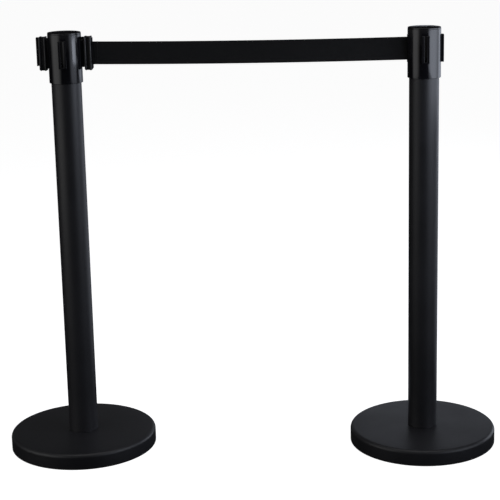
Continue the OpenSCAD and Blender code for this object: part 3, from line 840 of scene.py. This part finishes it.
def grip_plate(face, inward, thick, width):
    """A plate from `face` mm, thickened inward (1 or -1), with a round bead along each side."""
    z0, z1 = belt_mm - CLIP_HALF_H, belt_mm + CLIP_HALF_H
    profile = [(0, z0)] + arc((BEAD_R - 0.7, z0 + 0.7), 0.7, -90, 0, 4)
    profile += arc((BEAD_R - 0.7, z1 - 0.7), 0.7, 0, 90, 4) + [(0, z1)]
    near, far = sorted((face + inward * 0.05, face + inward * thick))
    flat = width / 2 - BEAD_R + 0.3
    made = clip_block((near, -flat, -CLIP_HALF_H), (far, flat, CLIP_HALF_H), 0, 0.7)
    for side in (-1, 1):
        bead_x = clip_origin.x + (face + inward * BEAD_R) * mm
        bead = lathe((bead_x, side * (width / 2 - BEAD_R) * mm), profile, 48)
        combine(made, bead, "UNION")
    return made


tall = CLIP_HALF_H
hook = grip_plate(0, 1, 3, PLATE_W)
combine(hook, clip_block((2, -CORE_W / 2, -tall + 0.3), (SPLIT, CORE_W / 2, tall - 0.3), 0, 0.3), "UNION")
combine(hook, clip_block((1 - HOOK_REACH, -1.9, HOOK_FOOT), (1, 1.9, tall - 1), 0, 0.3), "UNION")
hook_head = clip_block((-HOOK_REACH, -5.2, HOOK_FOOT), (2.6 - HOOK_REACH, 5.2, tall - 1), 0.7, 0.5)
combine(hook, hook_head, "UNION")
corner = clip_block((-2.1, -PLATE_W, -2.1), (2.1, PLATE_W, 2.1))
corner.data.transform(
    Matrix.Translation(clip_origin + Vector((0, 0, -tall * mm)))
    @ Matrix.Rotation(math.radians(45), 4, "Y")
    @ Matrix.Translation(-clip_origin)
)
combine(hook, corner, "DIFFERENCE")
hollow(hook)
soften(hook, 0.3, 45)
cover_half = clip_block((SPLIT, -CORE_W / 2, -tall + 0.3), (14, CORE_W / 2, tall - 0.3), 0, 0.3)
combine(cover_half, grip_plate(15, -1, 3, COVER_W), "UNION")
collar = clip_block((14, -COLLAR_W / 2, 3 - tall), (CLIP_DEPTH, COLLAR_W / 2, tall - 3), 0.6, 0.6)
combine(cover_half, collar, "UNION")
hollow(cover_half)

# %% [markdown]
# Two pan-head screws hold the halves together. They sit in round pockets in the collar side, above
# and below the belt. A lathe makes them upright at the origin, and they are then laid along X.

# %% Model the clip's screws and finish the clip
SCREW_Z = 30.0
SCREW_HEAD_R = 2.8
pan = [(0, -12), (1.0, -11.6), (1.5, -11)]
for thread in range(7):
    z = -11 + thread * 1.2
    pan += [(1.2, z + 0.3), (1.5, z + 0.6), (1.5, z + 0.7), (1.2, z + 1.0)]
pan += [(1.5, -1.5), (SCREW_HEAD_R, -1.5), (SCREW_HEAD_R, -0.7)]
pan += arc((SCREW_HEAD_R - 0.9, -0.7), 0.9, 0, 90, 4) + [(0, 0.25)]
SCREW_FACE = CLIP_DEPTH - 2
lay_down = Matrix.Rotation(math.radians(90), 4, "Y")
clip_screws = []
for z in (-SCREW_Z, SCREW_Z):
    seat = clip_origin + Vector((SCREW_FACE * mm, 0, z * mm))
    screw = lathe((0, 0), pan, 32)
    combine(screw, cross_recess((0, 0), 0.25 * mm, 3.2, 0.7, 1.0), "DIFFERENCE")
    screw.data.transform(Matrix.Translation(seat) @ lay_down)
    pocket = lathe((0, 0), [(0, -1.5), (3.1, -1.5), (3.1, 5), (0, 5)], 40)
    pocket.data.transform(Matrix.Translation(seat) @ lay_down)
    shaft = lathe((0, 0), [(0, -12), (1.55, -12), (1.55, 5), (0, 5)], 32)
    shaft.data.transform(Matrix.Translation(seat) @ lay_down)
    combine(pocket, shaft, "UNION")
    spare = copied(pocket, "pocket_copy", (0, 0, 0))
    combine(hook, pocket, "DIFFERENCE")
    combine(cover_half, spare, "DIFFERENCE")
    clip_screws.append(screw)
clip_screws = joined(clip_screws)
soften(cover_half, 0.3, 45)

clip_move = corners("left_clip_cover")[1] - corners("right_clip_cover")[1]
clip_move.y = clip_move.z = 0
for piece, part, finish, node in (
    (hook, "hook_half", "matt_plastic", "clip_hook"),
    (cover_half, "cover_half", "matt_plastic", "clip_cover"),
    (clip_screws, "clip_fixings", "black_screws", "clip_screws"),
):
    settle(piece, f"right_{part}")
    twin = copied(piece, f"left_{part}", clip_move)
    dress(piece, finish, "right_clip", f"right_{node}")
    dress(twin, finish, "left_clip", f"left_{node}")

# %% [markdown]
# ## Belts
#
# A belt is a woven strip with a slightly thicker selvedge along each edge. Its section is a plane with
# rounded corners and pinched-in shoulders, extruded point by point along the way that the belt takes:
# off the roll, round the guide pin, out of the slot and into the clip, where it is folded round the
# pin and sewn. The drawn-out belt hangs a little at mid-span, on a parabola.

# %% Define the belt section and its way
BELT_W = 48.0
BELT_T = 0.6
SELVEDGE = 2.0
FOLD = 13.0
EXIT = 2.0


def strip(points, name, offset=0.0):
    """A belt along the points in metres, moved across by offset mm."""
    points = [Vector(p) + Vector((0, offset * mm, 0)) for p in points]
    bpy.ops.object.select_all(action="DESELECT")
    bpy.ops.mesh.primitive_plane_add(size=1, location=points[0], rotation=(0, math.radians(90), 0))
    bpy.context.object.scale = (BELT_W * mm, BELT_T * mm, 1)
    piece = settle(bpy.context.object)
    bpy.ops.object.mode_set(mode="EDIT")
    bpy.ops.mesh.select_all(action="SELECT")
    bpy.ops.mesh.bevel(offset=0.26 * mm, segments=3, affect="VERTICES")
    mid = points[0].z
    for height in (SELVEDGE, SELVEDGE + 0.5):
        for side in (-1, 1):
            bpy.ops.mesh.select_all(action="SELECT")
            level = mid + side * (BELT_W / 2 - height) * mm
            bpy.ops.mesh.bisect(plane_co=(points[0].x, points[0].y, level), plane_no=(0, 0, 1))
    body = bmesh.from_edit_mesh(piece.data)
    inside = (BELT_W / 2 - SELVEDGE - 0.25) * mm
    bpy.ops.mesh.select_all(action="DESELECT")
    for vertex in body.verts:
        vertex.select_set(abs(vertex.co.z - mid) < inside)
    body.select_flush_mode()
    bmesh.update_edit_mesh(piece.data)
    bpy.ops.transform.resize(value=(1, 0.75, 1), center_override=points[0])
    bpy.ops.mesh.select_all(action="SELECT")
    for here, there in zip(points, points[1:]):
        bpy.ops.mesh.extrude_region_move(TRANSFORM_OT_translate={"value": there - here})
    bpy.ops.mesh.select_all(action="SELECT")
    bpy.ops.mesh.normals_make_consistent(inside=False)
    bpy.ops.object.mode_set(mode="OBJECT")
    return settle(piece, name)


def feed_way(side):
    """From the roll to the belt slot of one head: the leaving point and the bend at the guide pin."""
    roll, pin, spool = (middle(f"{side}_{part}") for part in ("belt_roll", "guide_pin", "spool"))
    roll_low, roll_high = corners(f"{side}_belt_roll")
    line_r = (roll_high.x - roll_low.x) / 2 + (BELT_T / 2 + 0.05) * mm
    across = Vector((pin.x - spool.x, pin.y - spool.y))
    angle = math.atan2(across.y, across.x) + math.asin((line_r + pin.y) / across.length)
    leave = Vector((spool.x + line_r * math.sin(angle), spool.y - line_r * math.cos(angle), belt_z))
    bend_x = leave.x - leave.y / math.tan(angle)
    bend_y = 0.25 * leave.y * 1.2 * mm / (leave.x - bend_x)
    return [leave, Vector((bend_x + 1.2 * mm, bend_y, belt_z)), Vector((bend_x - 1.5 * mm, 0, belt_z))]


def along(start, end, steps):
    """The points that divide a straight stretch into equal steps, without its start."""
    start, end = Vector(start), Vector(end)
    return [start.lerp(end, i / steps) for i in range(1, steps + 1)]


def loop_at(pin_x, name):
    """The belt's end, wrapped once round the clip's pin."""
    z0, z1 = belt_mm - BELT_W / 2, belt_mm + BELT_W / 2
    ring_outline = [(1.6, z0), (2.2, z0), (2.2, z1), (1.6, z1), (1.6, z0)]
    made = lathe((pin_x, 0), ring_outline, 40)
    made.name = name
    return made


# %% [markdown]
# The sewn end is the detail that tells webbing from a painted band: the belt doubles back on itself for
# a centimetre, and two rows of stitches cross it. One stitch is a short rounded bar. It is copied along
# both rows and on both faces, then everything is joined to the belt.

# %% Define the sewn end
STITCH = 2.4
STITCH_PITCH = 3.3


def sew(x_rows, front_y, back_y):
    """Rows of upright stitches across the belt, at the x places in metres, on both faces."""
    stitches = []
    count = int((BELT_W - 8) / STITCH_PITCH)
    for x in x_rows:
        for face_y in (front_y, back_y):
            for i in range(count):
                z = belt_z + (i - (count - 1) / 2) * STITCH_PITCH * mm
                low = (x - 0.22 * mm, face_y - 0.16 * mm, z - STITCH / 2 * mm)
                high = (x + 0.22 * mm, face_y + 0.16 * mm, z + STITCH / 2 * mm)
                stitches.append((low, high))
    first = block(*stitches[0], upright=0.12, rest=0.12)
    start = Vector(stitches[0][0])
    only(first)
    made = [first]
    for low, _ in stitches[1:]:
        only(first)
        bpy.ops.object.duplicate(linked=False)
        bpy.context.object.location = Vector(low) - start
        made.append(bpy.context.object)
    for one in made:
        one.data.materials.append(finishes["thread"])
    return made


def gather(belt, extras):
    """Joins the extras to the belt, which keeps its own finish first."""
    belt.data.materials.append(finishes["webbing"])
    for one in extras:
        if not one.data.materials:
            one.data.materials.append(finishes["webbing"])
    return settle(joined([belt] + extras), belt.name)


# %% [markdown]
# The drawn-out belt is two pieces that meet near the clip. The long one runs from the right head's roll
# over nearly the whole span; the short one runs on from there into the clip, where its end is folded,
# wrapped round the pin and sewn.

# %% Make the belt that is drawn out between the posts
span_from = post_x["right"] - (HEAD_R + EXIT) * mm
span_to = clip_origin.x + CLIP_DEPTH * mm
drop = belt_z - (corners("right_belt_near_left")[0].z + BELT_W / 2 * mm)
SPAN_STEPS = 40


def on_span(t):
    """The belt's middle at a share t of the way from the right head to the clip."""
    return Vector((span_from + (span_to - span_from) * t, 0, belt_z - 4 * drop * t * (1 - t)))


JOIN = 35  # the step where the post's piece ends and the clip's piece begins
post_run = [on_span(i / SPAN_STEPS) for i in range(JOIN + 1)]
near_post = strip(feed_way("right") + post_run, "right_webbing_post_end")
near_post.data.materials.append(finishes["webbing"])
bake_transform(near_post)
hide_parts("right_belt_near_right")

clip_run = [on_span(i / SPAN_STEPS) for i in range(JOIN, SPAN_STEPS + 1)]
right_pin = clip_origin.x + SPLIT * mm
last = Vector((right_pin + 1.9 * mm, 0, belt_z))
fold_x = span_to + FOLD * mm
near_clip = strip(clip_run + along(on_span(1), last, 3), "right_webbing_clip_end")
fold = strip([Vector((fold_x, 0, belt_z))] + along((fold_x, 0, belt_z), last, 4), "fold", -BELT_T)
rows = (span_to + 5 * mm, span_to + 10 * mm)
stitching = sew(rows, -1.5 * BELT_T * mm, BELT_T / 2 * mm)
gather(near_clip, [fold, loop_at(right_pin, "loop")] + stitching)
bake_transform(near_clip)
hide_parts("right_belt_near_left")
print("span", round(span_from - span_to, 4), "m, sag", round(drop, 4), "m")

# %% [markdown]
# The left post's belt is wound in. All that shows is the edge of the webbing between the clip's collar
# and the slot, but the whole way from the roll to the clip is there. The few millimetres inside the slot
# are cut into short steps.

# %% Make the belt that is wound in
left_pin = right_pin + clip_move.x
left_exit = post_x["left"] - HEAD_R * mm
run_start = left_exit + 6.5 * mm
run_end = left_exit - 0.7 * mm
way = feed_way("left")
wound_way = way + along(way[-1], (run_start, 0, belt_z), 2) if way[-1].x > run_start else way
wound_way = wound_way + along(wound_way[-1], (run_end, 0, belt_z), 14)
wound_way = wound_way + along(wound_way[-1], (left_pin + 1.9 * mm, 0, belt_z), 4)
wound = strip(wound_way, "left_webbing")
wound_belt = gather(wound, [loop_at(left_pin, "loop")])
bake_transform(wound_belt)
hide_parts("left_belt")

# %% [markdown]
# ## The parts inside
#
# Everything else keeps its CAD shape: the weight and its bolt, seen from below, and the cassette with
# its spool, spring and bushes, glimpsed through the slots. Each takes the finish named by its slot.

# %% Finish the parts that keep their CAD shape
for name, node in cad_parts.items():
    for place in node.material_slots:
        kind = place.material.name.split(".")[0]
        if kind not in finishes:
            print("no finish for", name, kind)
            continue
        place.material = finishes[kind]
print("CAD nodes", len(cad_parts))
